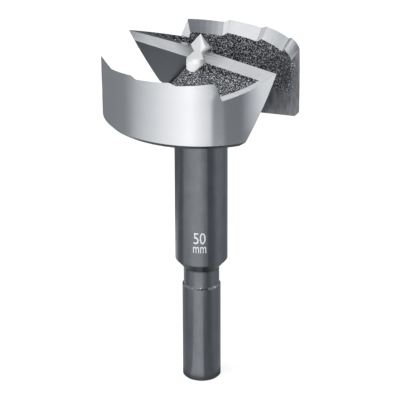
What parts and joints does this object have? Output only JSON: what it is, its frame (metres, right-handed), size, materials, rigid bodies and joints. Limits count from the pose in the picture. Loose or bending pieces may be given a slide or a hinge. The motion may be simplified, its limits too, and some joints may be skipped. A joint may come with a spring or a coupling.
{
  "type": "forstner bit",
  "caption": "One-piece wave-cut forstner bit: round shank, thick collar and a cupped head with lifters, chip throats, toothed rim and centre point.",
  "frame": {"origin": "centre of the shank's end face", "axes": "+Z along the tool's axis from the shank to the centre point; the two cutting edges lie along X"},
  "size_m": [0.05, 0.05, 0.095],
  "materials": {
    "tool_steel": "black oxide with ground bright rim, lands and point"
  },
  "bodies": {
    "root": {"forstner_bit": "tool_steel"}
  },
  "joints": []
}
